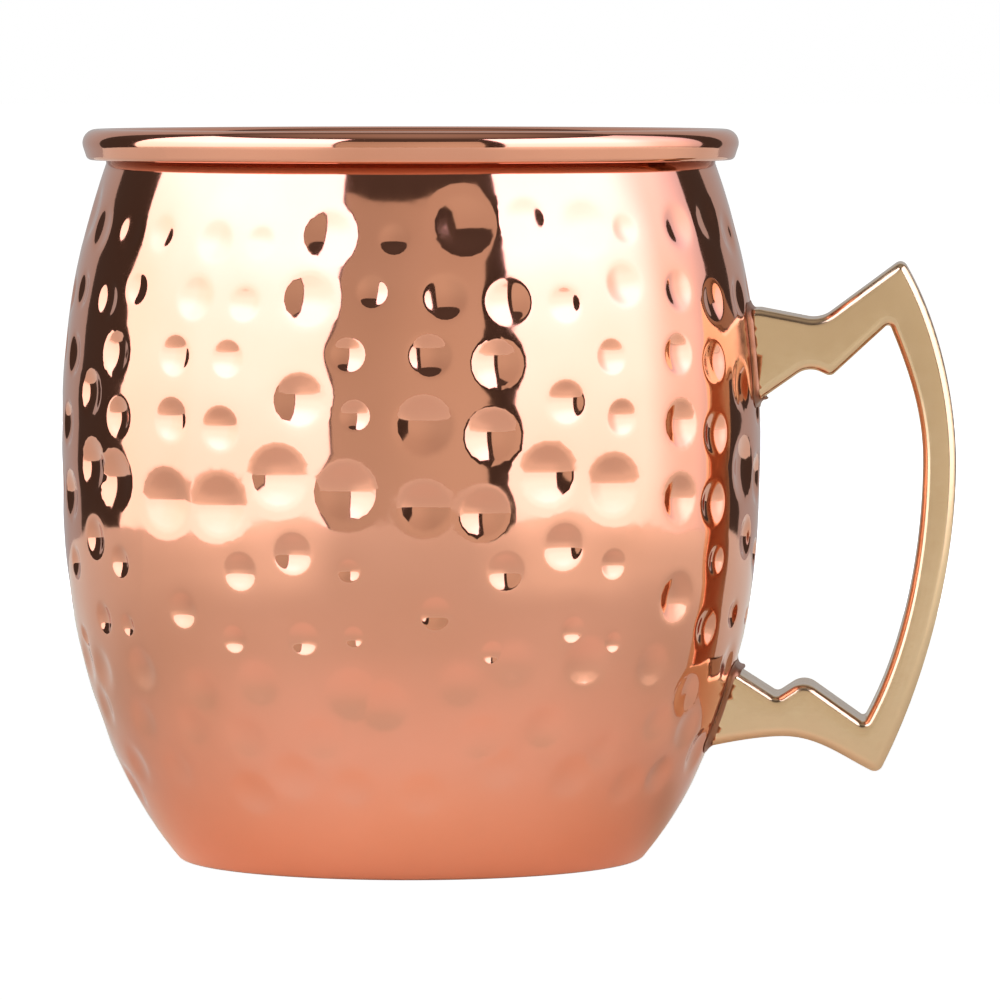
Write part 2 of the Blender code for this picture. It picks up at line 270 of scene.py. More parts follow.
def sheet_points(bottom, top, spacing):
    """Points for the hammered face, as (turn laid flat, s): rings in each mark, and a loose grid between."""
    found = []
    for azimuth, s0, a, ball, soft in MARKS:
        stretch = FLAT / wall.at(s0)[0]
        phase = rng.uniform(0, TAU)
        for share, number, shifted in SOFT_RINGS if soft > SOFT_RIM else RINGS:
            n = int(round(number * (0.55 + 0.15 * a))) if share else 1
            t = phase + TAU * (np.arange(n) + 0.5 * shifted) / n
            u = azimuth * FLAT + share * a * np.cos(t) * stretch
            found.append(np.stack([u, s0 + share * a * np.sin(t)], 1))
    rings = np.concatenate(found)
    cols, rows = int(TAU * FLAT / spacing), int((top - bottom) / spacing)
    along = np.arange(cols) * TAU * FLAT / cols
    up = bottom + (np.arange(rows) + 0.5) * (top - bottom) / rows
    gu, gs = np.meshgrid(along, up)
    grid = np.stack([gu.ravel(), gs.ravel()], 1) + rng.uniform(-0.3, 0.3, (gu.size, 2)) * spacing
    far = np.ones(len(grid), bool)
    for azimuth, s0, a, ball, soft in MARKS:
        r = wall.at(s0)[0]
        across = (np.mod(grid[:, 0] / FLAT - azimuth + math.pi, TAU) - math.pi) * r
        far &= np.hypot(across, grid[:, 1] - s0) > RINGS[-1][0] * a + 0.4 * spacing
    points = np.concatenate([rings, grid[far]])
    points[:, 0] = np.mod(points[:, 0], TAU * FLAT)
    points = points[(points[:, 1] > bottom + 0.5) & (points[:, 1] < top - 0.5)]
    cells = np.round(points / CELL).astype(np.int64)
    first = np.unique(cells, axis=0, return_index=True)[1]
    points = points[np.sort(first)]
    return points + rng.uniform(-0.001, 0.001, points.shape)


def join_up(points, bottom, top):
    """Triangles over points and the two edges of the sheet, joined across the turn's end."""
    whole = TAU * FLAT
    edge = np.arange(SIDES) * whole / SIDES
    points = np.concatenate([np.stack([edge, np.full(SIDES, bottom)], 1),
                             np.stack([edge, np.full(SIDES, top)], 1), points])
    index = np.arange(len(points))
    left = points[:, 0] < MARGIN
    right = points[:, 0] > whole - MARGIN
    spread = np.concatenate([points, points[left] + (whole, 0), points[right] - (whole, 0)])
    index = np.concatenate([index, index[left], index[right]])
    result = delaunay_2d_cdt([Vector(p) for p in spread], [], [], 0, 1e-9, True)
    where = np.array([ids[0] for ids in result[3]])
    faces = where[np.array(result[2])]
    middle = spread[faces][:, :, 0].mean(1)
    faces = index[faces[(middle >= 0) & (middle < whole)]]
    return points, faces


def lathe_rings(path, normals):
    """Rings of vertices around Z for a list of (radius, z) in mm, and their normals."""
    t = np.arange(SIDES) * TAU / SIDES
    c, q = np.cos(t), np.sin(t)
    points = [np.stack([r * c, r * q, np.full(SIDES, z)], 1) * MM for r, z in path]
    ns = [np.stack([nr * c, nr * q, np.full(SIDES, nz)], 1) for nr, nz in normals]
    return points, ns


def add_object(name, mesh):
    item = bpy.data.objects.new(name, mesh)
    bpy.context.scene.collection.objects.link(item)
    return item


def object_from(bm, name):
    mesh = bpy.data.meshes.new(name)
    bm.to_mesh(mesh)
    bm.free()
    return add_object(name, mesh)


class Shell:
    """Gathers vertices, normals and faces of one closed piece."""

    def __init__(self):
        self.points, self.normals, self.faces = [], [], []
        self.count = 0

    def add(self, points, normals):
        self.points.append(points)
        self.normals.append(normals)
        start = self.count
        self.count += len(points)
        return start

    def ring(self, r, z, nr, nz):
        if r == 0:
            return self.add(np.array([[0, 0, z * MM]]), np.array([[0, 0, nz]])), 1
        points, normals = lathe_rings([(r, z)], [(nr, nz)])
        return self.add(points[0], normals[0]), SIDES

    def bridge(self, a, b):
        """Faces between two rings, given as (start, length)."""
        i = np.arange(SIDES)
        j = (i + 1) % SIDES
        if a[1] == 1:
            self.faces += [(a[0], b[0] + p, b[0] + q) for p, q in zip(j, i)]
        elif b[1] == 1:
            self.faces += [(b[0], a[0] + p, a[0] + q) for p, q in zip(i, j)]
        else:
            self.faces += [(a[0] + p, a[0] + q, b[0] + q, b[0] + p) for p, q in zip(i, j)]

    def strip(self, path, normals, last=None):
        """Rings along a path, bridged, starting from a ring already there."""
        for (r, z), (nr, nz) in zip(path, normals):
            ring = self.ring(r, z, nr, nz)
            if last is not None:
                self.bridge(last, ring)
            last = ring
        return last

    def build(self, name):
        points = np.concatenate(self.points)
        normals = np.concatenate(self.normals)
        mesh = bpy.data.meshes.new(name)
        mesh.from_pydata(points.tolist(), [], [tuple(int(i) for i in f) for f in self.faces])
        mesh.update()
        mesh.shade_smooth()
        mesh.normals_split_custom_set_from_vertices(normals.tolist())
        return add_object(name, mesh)


def bead_outside():
    """Section of the roll: tucked-in edge, corner, leaning outer face and top."""
    face = math.radians(BEAD_FACE)
    out, along = np.array([math.cos(face), math.sin(face)]), np.array([-math.sin(face), math.cos(face)])
    top = np.array(ROLL_TOP)
    low = top + (ROLL_CROWN - ROLL_CORNER) * out - ROLL_RUN * along
    corner = arc(low, ROLL_CORNER, -97, BEAD_FACE, 14)
    crown = arc(top, ROLL_CROWN, BEAD_FACE, 90, 34)
    t = np.radians(np.linspace(90, 180, 19))[1:]
    inner = np.stack([top[0] + ROLL_BACK[0] * np.cos(t), BEAD_CENTRE[1] + ROLL_BACK[1] * np.sin(t)], 1)
    path = np.concatenate([ROLL_TUCK, corner, crown, inner])
    slope = np.gradient(path, axis=0)
    normals = np.stack([slope[:, 1], -slope[:, 0]], 1)
    normals /= np.hypot(*normals.T)[:, None]
    return [tuple(p) for p in path], normals


def normals_inwards(a):
    a = np.radians(a)
    return -np.stack([np.cos(a), np.sin(a)], 1)


def base_rings(shell, inset, outward, last=None):
    """The flat base and its corner, at an inset, as rings from the axis outwards."""
    radii = [0, 4, 10, 16, 22, 27, BASE_RADIUS]
    path = [(r, inset) for r in radii]
    normals = [(0, -outward)] * len(path)
    keep = np.arange(3, 24, 3)
    corner = [(wall.path[k] - inset * wall.out[k]) for k in keep]
    path += [tuple(p) for p in corner]
    normals += [tuple(outward * wall.out[k]) for k in keep]
    return shell.strip(path, normals, last)


def make_body():
    shell = Shell()
    bottom, top = wall.corner, wall.end
    points = sheet_points(bottom, top, SPACING)
    points, faces = join_up(points, bottom, top)
    theta, s = points[:, 0] / FLAT, points[:, 1]
    co, n = place(theta, s, 0.0, *dent(theta, s))
    last = base_rings(shell, 0.0, 1)
    start = shell.add(co, n)
    shell.bridge(last, (start, SIDES))
    shell.faces += [tuple(f + start) for f in faces]
    last = (start + SIDES, SIDES)
    # the collar runs up inside the roll, which wraps the wire and stays open underneath
    path = [(NECK[0], z) for z in (96.2, 97.0)]
    last = shell.strip(path, [(1, 0)] * 2, last)
    a = np.linspace(180, CURL_END, 30)
    under = arc(BEAD_CENTRE, CURL_RADIUS, 180, CURL_END, 29)
    last = shell.strip([tuple(p) for p in under], normals_inwards(a), last)
    over, normals = bead_outside()
    last = shell.strip(over, normals, last)
    keep = np.linspace(len(wall.s) - 1, 26, 60).astype(int)
    path = [tuple(wall.path[k] - BODY_WALL * wall.out[k]) for k in keep]
    last = shell.strip(path, [tuple(-wall.out[k]) for k in keep], last)
    path = [(r, BODY_WALL) for r in (BASE_RADIUS - 0.9, 24, 12, 0)]
    shell.strip(path, [(0, 1)] * 4, last)
    return shell.build("hammered_body")


def make_lining():
    """Thin inner skin, which shows the backs of the marks as low bumps."""
    shell = Shell()
    back, front, top = LINING_BACK, LINING_FRONT, wall.s_of_height(95.0)
    keep = [k for k in range(24, len(wall.s), 20) if wall.s[k] < top - 1]
    last = shell.strip([(r, back) for r in (0, 12, 24, BASE_RADIUS)], [(0, -1)] * 4)
    path = [tuple(wall.path[k] - back * wall.out[k]) for k in keep]
    last = shell.strip(path, [tuple(wall.out[k]) for k in keep], last)
    r, z, nr, nz = wall.at(np.array([top]))
    rim = [(r[0] - back * nr[0], z[0] - back * nz[0]), (r[0] - front * nr[0], z[0] - front * nz[0])]
    last = shell.strip(rim, [(nr[0], nz[0]), (-nr[0], -nz[0])], last)
    levels = np.arange(top - 0.6, wall.corner, -0.75)
    t = np.arange(SIDES) * TAU / SIDES
    for level in levels:
        s = np.full(SIDES, level)
        d, du, ds = dent(t, s)
        soft = LINING_SHARE * np.clip((top - level) / 4, 0, 1)
        co, n = place(t, s, front, soft * d, soft * du, soft * ds)
        ring = (shell.add(co, -n), SIDES)
        shell.bridge(last, ring)
        last = ring
    path = [(BASE_RADIUS - 1.4, front), (24, front), (16, front), (8, front), (0, front)]
    shell.strip(path, [(0, 1)] * 5, last)
    return shell.build("inner_lining")


# ---------------------------------------------------------------- cast handle, outline in mm

HALF = 7.0              # half the handle's thickness
GRIP_OUT, GRIP_IN = (74.65, 54.5), (70.15, 54.5)
PEAK, TIP, APEX, CROOK, ARCH = (67.3, 82.3), (64.2, 12.2), (65.5, 73.7), (62.2, 19.2), (51.2, 17.3)
FOOT_END = 36.0
EDGE = 1.15             # radius of the rounded edge
CROWN = 0.06
CROWN_REACH = 4.5
FACE_LEVELS = [EDGE * (1 - math.cos(math.radians(a))) for a in (14, 26, 38, 50, 62, 76, 90)]
FACE_LEVELS += [1.5, 2.0, 2.6, 3.3, 4.0, 4.8, 5.6, 6.6]     # rows of points, by distance in from the outline
FACE_CELL = 0.16        # points that share one are the same


def round_corner(before, corner, after, radius, steps):
    corner = Vector(corner)
    back = (Vector(before) - corner).normalized()
    ahead = (Vector(after) - corner).normalized()
    half = back.angle(ahead) / 2
    centre = corner + (back + ahead).normalized() * radius / math.sin(half)
    start = corner + back * radius / math.tan(half) - centre
    end = corner + ahead * radius / math.tan(half) - centre
    angle = math.degrees(math.atan2(start.y, start.x))
    return arc(centre, radius, angle, angle - math.degrees(start.angle_signed(end)), steps).tolist()


def handle_outline():
    """The handle seen from its side, anticlockwise, at an even spacing."""
    outer_low = curve(TIP, pull(13.9, 62.5), (0, -13.9), GRIP_OUT, 60)
    outer_high = curve(GRIP_OUT, (0, 9.4), pull(8.8, -58), PEAK, 40)
    inner_high = curve(APEX, pull(7.1, -67.5), (0, 7.1), GRIP_IN, 30)
    inner_low = curve(GRIP_IN, (0, -11), pull(11.8, 61), CROOK, 50)
    arch_in = curve((41, 15.85), (0, 0), (-4, 0), ARCH, 14)
    arch_out = curve(ARCH, (5.2, 0), pull(4.8, 156.5), TIP, 22)
    path = [((FOOT_END, 15.2), 0)]
    path += [(tuple(p), 0) for p in arch_in]
    path += [(tuple(p), 0) for p in arch_out[1:-2]]
    path += [(TIP, 1.2)]
    path += [(tuple(p), 0) for p in outer_low[2:-1]]
    path += [(tuple(p), 0) for p in outer_high[:-2]]
    path += [(PEAK, 1.0), ((56.1, 74.0), 4.0), ((48, 75.55), 0)]
    path += [((FOOT_END, 75.6), 0), ((FOOT_END, 54.8), 0)]
    path += [((54.5, 67.8), 3.1), ((57.6, 66.4), 1.0), (APEX, 0.5)]
    path += [(tuple(p), 0) for p in inner_high[2:-1]]
    path += [(tuple(p), 0) for p in inner_low[:-1]]
    path += [(CROOK, 0.5), ((54, 25), 2.7), ((50.3, 22.6), 1.0), ((FOOT_END, 31.7), 0)]
    outline = []
    for k, (point, radius) in enumerate(path):
        before, after = path[k - 1][0], path[(k + 1) % len(path)][0]
        outline += round_corner(before, point, after, radius, 10) if radius else [point]
    outline = np.array(outline)
    ahead = np.roll(outline, -1, 0)
    fine = []
    for p, q in zip(outline, ahead):
        n = max(1, int(math.ceil(np.hypot(*(q - p)) / 0.7)))
        fine += [p + (q - p) * k / n for k in range(n)]
    return np.array(fine)


def depth_inside(points, outline):
    """Distance from points to the outline."""
    a, b = outline, np.roll(outline, -1, 0)
    d = b - a
    length = (d ** 2).sum(1)
    best = np.full(len(points), 1e9)
    for k in range(len(a)):
        t = np.clip(((points - a[k]) @ d[k]) / length[k], 0, 1)
        gap = points - a[k] - t[:, None] * d[k]
        best = np.minimum(best, (gap ** 2).sum(1))
    return np.sqrt(best)


def is_inside(points, outline):
    """Whether each point lies inside the outline."""
    inside = np.zeros(len(points), bool)
    for (x0, z0), (x1, z1) in zip(outline, np.roll(outline, -1, 0)):
        crosses = (points[:, 1] < z0) != (points[:, 1] < z1)
        if z0 != z1:
            inside ^= crosses & (points[:, 0] < x0 + (points[:, 1] - z0) * (x1 - x0) / (z1 - z0))
    return inside


def faces_within(points, faces, border, outline):
    """Triangles inside the outline: the largest group that is joined across edges off the border."""
    group = list(range(len(faces)))

    def head(k):
        while group[k] != k:
            group[k] = group[group[k]]
            k = group[k]
        return k

    seen = {}
    for k, (a, b, c) in enumerate(faces.tolist()):
        for edge in (frozenset((a, b)), frozenset((b, c)), frozenset((c, a))):
            if edge in border:
                continue
            if edge in seen:
                group[head(k)] = head(seen[edge])
            else:
                seen[edge] = k
    heads = np.array([head(k) for k in range(len(faces))])
    p, q, r = (points[faces[:, k]] for k in range(3))
    area = np.abs((q - p)[:, 0] * (r - p)[:, 1] - (q - p)[:, 1] * (r - p)[:, 0])
    area[~is_inside(points[faces].mean(1), outline)] = 0
    kept = max(np.unique(heads), key=lambda h: area[heads == h].sum())
    return faces[heads == kept]


def face_height(depth):
    """How far the handle's side stands out, by distance in from its outline."""
    edge = np.clip(depth / EDGE, 0, 1)
    low = HALF - EDGE + EDGE * np.sqrt(1 - (1 - edge) ** 2)
    reach = np.clip(CROWN_REACH - depth, 0, None)
    return low - CROWN * reach ** 2 / (2 * CROWN_REACH)


def make_handle():
    outline = handle_outline()
    before, after = np.roll(outline, 1, 0), np.roll(outline, -1, 0)
    way = after - before
    way /= np.hypot(*way.T)[:, None]
    inward = np.stack([-way[:, 1], way[:, 0]], 1)
    found = []
    for k, level in enumerate(FACE_LEVELS):
        some = slice(k % 2, None, 1 if level < 1.6 else 2)
        q = (outline + level * inward)[some]
        found.append(q[depth_inside(q, outline) > level * 0.985 - 0.002])
    inner = np.concatenate(found)
    cells = np.round(inner / FACE_CELL).astype(np.int64)
    inner = inner[np.sort(np.unique(cells, axis=0, return_index=True)[1])]
    points = np.concatenate([outline, inner])
    count = len(outline)
    loop = [(k, (k + 1) % count) for k in range(count)]
    result = delaunay_2d_cdt([Vector(p) for p in points], loop, [], 0, 1e-7, True)
    flat = np.array([tuple(p) for p in result[0]])
    faces = np.array(result[2])
    spot = {original: k for k, group in enumerate(result[3]) for original in group}
    border = {frozenset((spot[a], spot[b])) for a, b in loop}
    faces = faces_within(flat, faces, border, outline)
    depth = depth_inside(flat, outline)
    depth[depth < 1e-4] = 0
    height = face_height(depth)
    bm = bmesh.new()
    sides = {}
    for sign in (-1, 1):
        sides[sign] = [bm.verts.new((x * MM, sign * y * MM, z * MM)) for (x, z), y in zip(flat, height)]
        for face in faces:
            bm.faces.new([sides[sign][k] for k in face[::-sign]])
    edge_y = float(face_height(np.array([0.0]))[0])
    shares = [-1, -0.93, -0.75, -0.5, -0.25, 0, 0.25, 0.5, 0.75, 0.93, 1]
    rows = []
    for share in shares:
        if abs(share) == 1:
            rows.append([sides[share][spot[k]] for k in range(count)])
        else:
            rows.append([bm.verts.new((x * MM, share * edge_y * MM, z * MM)) for x, z in outline])
    for row, other in zip(rows, rows[1:]):
        for k in range(count):
            j = (k + 1) % count
            bm.faces.new((row[k], other[k], other[j], row[j]))
    bmesh.ops.recalc_face_normals(bm, faces=bm.faces)
    handle = object_from(bm, "cast_handle")
    cutter = make_cutter()
    cut = handle.modifiers.new("foot", "BOOLEAN")
    cut.operation, cut.solver, cut.object = "DIFFERENCE", "EXACT", cutter
    bpy.context.view_layer.update()
    graph = bpy.context.evaluated_depsgraph_get()
    result = bpy.data.meshes.new_from_object(handle.evaluated_get(graph))
    handle.modifiers.clear()
    handle.data = result
    bpy.data.objects.remove(cutter)
    handle.data.name = "cast_handle"
    handle.data.shade_smooth()
    handle.data.set_sharp_from_angle(angle=math.radians(40))
    return handle


def make_cutter():
    """The body's outside and the room for a seam, as a solid."""
    shell = Shell()
    path = [(0, -FOOT_ROOM), (20, -FOOT_ROOM)]
    path += [tuple(wall.path[k] + FOOT_ROOM * wall.out[k]) for k in range(0, len(wall.s), 12)]
    path += [(0, NECK[1] + 2)]
    shell.strip(path, [(1, 0)] * len(path))
    return shell.build("cutter")


# ---------------------------------------------------------------- brazed seams

SEAM_LIP = 0.9          # how far the braze shows round the arm's foot
SEAM_BITE = 0.22        # how far the fillet's crest lies inside the arm's face
SEAM_BED = 0.45         # thickness under the arm's foot
SEAM_EDGE, SEAM_RISE = 0.08, 1.05   # height at its outer edge, and from there to the crest
SEAM_DROP = 12          # steepness behind the crest
SEAM_GAP = 0.02         # how far the braze stands off the wall
SEAM_TURN = 2.1         # radius of its corners
UPPER_ARM, LOWER_ARM = (63.0, 75.6), (15.9, 26.6)   # lowest and highest of the arms' feet
FOOT_ROOM = 0.5         # how far the arm's foot stands off the wall


def seam_height(depth):
    """Height of the braze over the wall, by distance in from its edge: hollow fillet, then a thin bed."""
    crest = SEAM_LIP + SEAM_BITE
    t = min(depth / crest, 1)
    fillet = SEAM_EDGE + SEAM_RISE * (1 - math.sqrt(1 - t * t))
    return fillet if depth <= crest else max(SEAM_BED, fillet - (depth - crest) * SEAM_DROP)


def make_seam(name, low, high):
    low, high, half = low - SEAM_LIP, high + SEAM_LIP, HALF + SEAM_LIP
    corners = [(-half, low), (half, low), (half, high), (-half, high)]
    rounds = [round_corner(corners[k - 1], corners[k], corners[(k + 1) % 4], SEAM_TURN, 12) for k in range(4)]
    outline = []
    for k, points in enumerate(rounds):
        start, end = np.array(points[-1]), np.array(rounds[(k + 1) % 4][0])
        n = int(math.ceil(np.hypot(*(end - start)) / 0.35))
        outline += points + [tuple(start + (end - start) * j / n) for j in range(1, n)]
    outline = np.array(outline)
    centre = np.array([0, (low + high) / 2])
    bm = bmesh.new()
    size = np.array([half, (high - low) / 2])
    steps = [0, 0.04, 0.1, 0.2, 0.35, 0.5, 0.65, 0.78, 0.9, 0.98, 1.04, 1.09, 1.12, 1.2, 1.5, 3.0, 5.0]
    shapes = {}
    for layer in (0, 1):
        rings = []
        for step in steps:
            scale = 1 - step / size
            y, z = (centre + (outline - centre) * scale).T
            hollow = dent(np.arcsin(y / wall.radius(z)), wall.s_of_height(z))[0]
            share = 1 if layer == 0 else max(0.0, 1 - step / SEAM_LIP)
            lift = SEAM_GAP if layer == 0 else SEAM_GAP + seam_height(step)
            r = wall.radius(z) + lift - share * hollow
            ring = [bm.verts.new(co) for co in np.stack([np.sqrt(r * r - y * y), y, z], 1) * MM]
            rings.append(ring)
        for ring, other in zip(rings, rings[1:]):
            for k in range(len(ring)):
                bm.faces.new((ring[k - 1], ring[k], other[k], other[k - 1]))
        bm.faces.new(rings[-1])
        shapes[layer] = rings[0]
    for k in range(len(outline)):
        bm.faces.new((shapes[0][k - 1], shapes[0][k], shapes[1][k], shapes[1][k - 1]))
    bmesh.ops.recalc_face_normals(bm, faces=bm.faces)
    item = object_from(bm, name)
    item.data.shade_smooth()
    item.data.set_sharp_from_angle(angle=math.radians(50))
    return item


# ---------------------------------------------------------------- materials

class Nodes:
    def __init__(self, name):
        self.material = bpy.data.materials.new(name)
        self.material.use_nodes = True
        self.tree = self.material.node_tree
        self.shader = self.tree.nodes["Principled BSDF"]
        self.coords = self.new("ShaderNodeTexCoord").outputs["Object"]

    def new(self, kind, **settings):
        node = self.tree.nodes.new(kind)
        for key, value in settings.items():
            if hasattr(node, key):
                setattr(node, key, value)
            else:
                node.inputs[key.replace("_", " ").title()].default_value = value
        return node

    def link(self, a, b):
        self.tree.links.new(a, b)

    def noise(self, scale, detail=3.0, stretch=None):
        source = self.coords
        if stretch:
            mapping = self.new("ShaderNodeMapping")
            mapping.inputs["Scale"].default_value = stretch
            self.link(source, mapping.inputs["Vector"])
            source = mapping.outputs["Vector"]
        node = self.new("ShaderNodeTexNoise")
        node.inputs["Scale"].default_value = scale
        node.inputs["Detail"].default_value = detail
        self.link(source, node.inputs["Vector"])
        return node.outputs["Fac"]

    def remap(self, value, low, high, start, end):
        node = self.new("ShaderNodeMapRange")
        for key, number in zip(("From Min", "From Max", "To Min", "To Max"), (low, high, start, end)):
            node.inputs[key].default_value = number
        self.link(value, node.inputs["Value"])
        return node.outputs["Result"]

    def mix(self, factor, a, b):
        node = self.new("ShaderNodeMix", data_type="RGBA")
        self.link(factor, node.inputs["Factor"])
        for socket, value in ((node.inputs[6], a), (node.inputs[7], b)):
            if isinstance(value, tuple):
                socket.default_value = (*value, 1)
            else:
                self.link(value, socket)
        return node.outputs[2]

    def bump(self, value, strength, distance, before=None):
        node = self.new("ShaderNodeBump")
        node.inputs["Strength"].default_value = strength
        node.inputs["Distance"].default_value = distance
        self.link(value, node.inputs["Height"])
        if before:
            self.link(before, node.inputs["Normal"])
        return node.outputs["Normal"]

    def finish(self, colour, roughness, normal, metallic=1.0):
        self.link(colour, self.shader.inputs["Base Color"])
        self.link(roughness, self.shader.inputs["Roughness"])
        self.link(normal, self.shader.inputs["Normal"])
        self.shader.inputs["Metallic"].default_value = metallic
        return self.material


def painted_shade_under_roll(n):
    """A mask of painted shade on the collar under the roll above it, where the roll's shade falls, and
    nothing elsewhere.
    """
    split = n.new("ShaderNodeSeparateXYZ")
    n.link(n.coords, split.inputs[0])
    flat = n.new("ShaderNodeVectorMath", operation="MULTIPLY")
    flat.inputs[1].default_value = (1, 1, 0)
    n.link(n.coords, flat.inputs[0])
    reach = n.new("ShaderNodeVectorMath", operation="LENGTH")
    n.link(flat.outputs[0], reach.inputs[0])
    total = None
    height, radius = split.outputs["Z"], reach.outputs["Value"]
    limits = ((height, 0.0944, 0.0957), (height, 0.0970, 0.0965),
              (radius, 0.0438, 0.0429), (radius, 0.0409, 0.0413))
    for value, start, end in limits:    # from none to full between two places, in metres
        share = n.remap(value, start, end, 0, 1)
        if total:
            both = n.new("ShaderNodeMath", operation="MULTIPLY")
            n.link(total, both.inputs[0])
            n.link(share, both.inputs[1])
            share = both.outputs[0]
        total = share
    return total


def copper_material():
    n = Nodes("polished_copper")
    cloud = n.noise(45, 4)
    colour = n.mix(n.remap(cloud, 0.35, 0.7, 0, 1), (0.82, 0.365, 0.24), (0.78, 0.34, 0.215))
    # painted shade: the collar under the roll is darkened where the roll's shade falls
    colour = n.mix(painted_shade_under_roll(n), colour, (0.42, 0.15, 0.085))
    fine = n.noise(700, 5, (1, 1, 0.25))
    roughness = n.remap(fine, 0.3, 0.75, 0.05, 0.075)
    return n.finish(colour, roughness, n.bump(n.noise(260, 2), 0.05, 0.0001))


def tin_material():
    n = Nodes("tinned_lining")
    cloud = n.noise(60, 5)
    colour = n.mix(n.remap(cloud, 0.3, 0.7, 0, 1), (0.62, 0.58, 0.52), (0.50, 0.46, 0.40))
    roughness = n.remap(n.noise(300, 5, (1, 1, 0.1)), 0.3, 0.75, 0.16, 0.3)
    return n.finish(colour, roughness, n.bump(n.noise(500, 4, (1, 1, 0.1)), 0.15, 0.0001))


def steel_material():
    n = Nodes("drawn_steel")
    colour = n.mix(n.noise(80, 4), (0.45, 0.45, 0.46), (0.6, 0.6, 0.6))
    roughness = n.remap(n.noise(500, 4), 0.3, 0.7, 0.3, 0.5)
    return n.finish(colour, roughness, n.bump(n.noise(900, 3), 0.2, 0.00005))


def brass_material():
    n = Nodes("cast_brass")
    cloud = n.noise(38, 4)
    colour = n.mix(n.remap(cloud, 0.35, 0.7, 0, 1), (0.775, 0.535, 0.325), (0.72, 0.485, 0.285))
    roughness = n.remap(n.noise(420, 5), 0.3, 0.75, 0.14, 0.24)
    ripple = n.bump(n.noise(110, 2), 0.25, 0.0002)
    return n.finish(colour, roughness, n.bump(n.noise(1500, 4), 0.1, 0.00004, ripple))


def braze_material():
    n = Nodes("copper_braze")
    # the braze's own colour, darker than the copper, darkened further as painted shade for the gap round the
    # arm's foot
    colour = n.mix(n.noise(300, 4), (0.38, 0.175, 0.10), (0.27, 0.12, 0.07))
    roughness = n.remap(n.noise(600, 4), 0.3, 0.7, 0.3, 0.48)
    return n.finish(colour, roughness, n.bump(n.noise(900, 3), 0.3, 0.0001))


# ---------------------------------------------------------------- pieces

finishes = {"copper": copper_material(), "tin": tin_material(), "steel": steel_material(),
            "brass": brass_material(), "braze": braze_material()}
pieces = [(make_body(), "body_shell", "copper"), (make_lining(), "lining", "tin"),
          (make_handle(), "handle", "brass"),
          (make_seam("upper_braze", *UPPER_ARM), "upper_braze_seam", "braze"),
          (make_seam("lower_braze", *LOWER_ARM), "lower_braze_seam", "braze")]
for piece, node, slot in pieces:
    piece.data.materials.clear()
    piece.data.materials.append(finishes[slot])
    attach(piece, "root")
    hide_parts(node)
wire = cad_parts["rim_wire"]
wire.data.materials.clear()
wire.data.materials.append(finishes["steel"])


# ---------------------------------------------------------------- studio

def fade(tree, value, stops):
    """A colour that follows a value through (value, colour) stops."""
    low, high = stops[0][0], stops[-1][0]
    remap = tree.nodes.new("ShaderNodeMapRange")
    remap.inputs["From Min"].default_value, remap.inputs["From Max"].default_value = low, high
    tree.links.new(value, remap.inputs["Value"])
    ramp = tree.nodes.new("ShaderNodeValToRGB")
    ramp.color_ramp.interpolation = "EASE"
    elements = ramp.color_ramp.elements
    elements.remove(elements[-1])
    for k, (spot, light) in enumerate(stops):
        element = elements.new((spot - low) / (high - low)) if k else elements[0]
        element.position = (spot - low) / (high - low)
        element.color = (*light, 1) if isinstance(light, tuple) else (light, light, light, 1)
    tree.links.new(remap.outputs[0], ramp.inputs[0])
    return ramp.outputs[0]


def times(tree, a, b):
    both = tree.nodes.new("ShaderNodeVectorMath")
    both.operation = "MULTIPLY"
    tree.links.new(a, both.inputs[0])
    tree.links.new(b, both.inputs[1])
    return both.outputs[0]


def glow(name, *fades):
    """Light-giving material: the product of fades, each (axis, [(place in metres, colour), ...])."""
    material = bpy.data.materials.new(name)
    material.use_nodes = True
    tree = material.node_tree
    tree.nodes.clear()
    coords = tree.nodes.new("ShaderNodeTexCoord")
    split = tree.nodes.new("ShaderNodeSeparateXYZ")
    tree.links.new(coords.outputs["Object"], split.inputs[0])
    total = None
    for axis, stops in fades:
        light = fade(tree, split.outputs[axis], stops)
        total = times(tree, total, light) if total else light
    emission = tree.nodes.new("ShaderNodeEmission")
    tree.links.new(total, emission.inputs["Color"])
    output = tree.nodes.new("ShaderNodeOutputMaterial")
    tree.links.new(emission.outputs[0], output.inputs["Surface"])
    return material


def card(name, start, end, low, high, distance, material):
    """Upright curved card round the mug; its ends in degrees from the side that faces the camera."""
    bm = bmesh.new()
    turns = np.radians(np.linspace(start, end, 25)) + FRONT
    foot, head = [[bm.verts.new((distance * math.cos(t), distance * math.sin(t), z)) for t in turns]
                  for z in (low, high)]
    for k in range(len(turns) - 1):
        bm.faces.new((foot[k], foot[k + 1], head[k + 1], head[k]))
    item = object_from(bm, name)
    item.data.materials.append(material)
    item.visible_camera = False
    return item


FAR = 1.3               # distance of the cards, in metres
MIDDLE = 0.056          # height of the belly, in metres


def height_at(elevation):
    """Height on a card that the belly sees at an elevation in degrees."""
    return MIDDLE + FAR * math.tan(math.radians(elevation))


LOW, HIGH = height_at(-16), height_at(52)
UP = [(height_at(-9), (1.2, 1.22, 1.25)), (height_at(-5.2), (2.15, 2.2, 2.5)),
      (height_at(8), (2.45, 2.5, 2.95)), (height_at(28), (3.0, 3.1, 4.1))]
card("softbox_left", -110, -26, LOW, HIGH, FAR,
     glow("light_left", ("Z", UP),
                      ("Y", [(-0.5, 1.0), (-0.2, (0.97, 0.96, 0.93)), (0.38, (0.93, 0.92, 0.85))])))
card("softbox_right", 33, 122, LOW, HIGH, FAR,
     glow("light_right", ("Z", UP), ("Y", [(-0.2, 1.0), (0.35, (0.62, 0.6, 0.55)), (0.8, 0.36)])))
card("front_card", -25, 26, LOW, height_at(33), FAR,
     glow("light_front", ("Z", [(height_at(0), (0.66, 0.655, 0.585)), (height_at(30), (0.58, 0.56, 0.5))]),
          ("X", [(-0.3, 0.97), (0.45, (1.14, 1.14, 1.14))])))
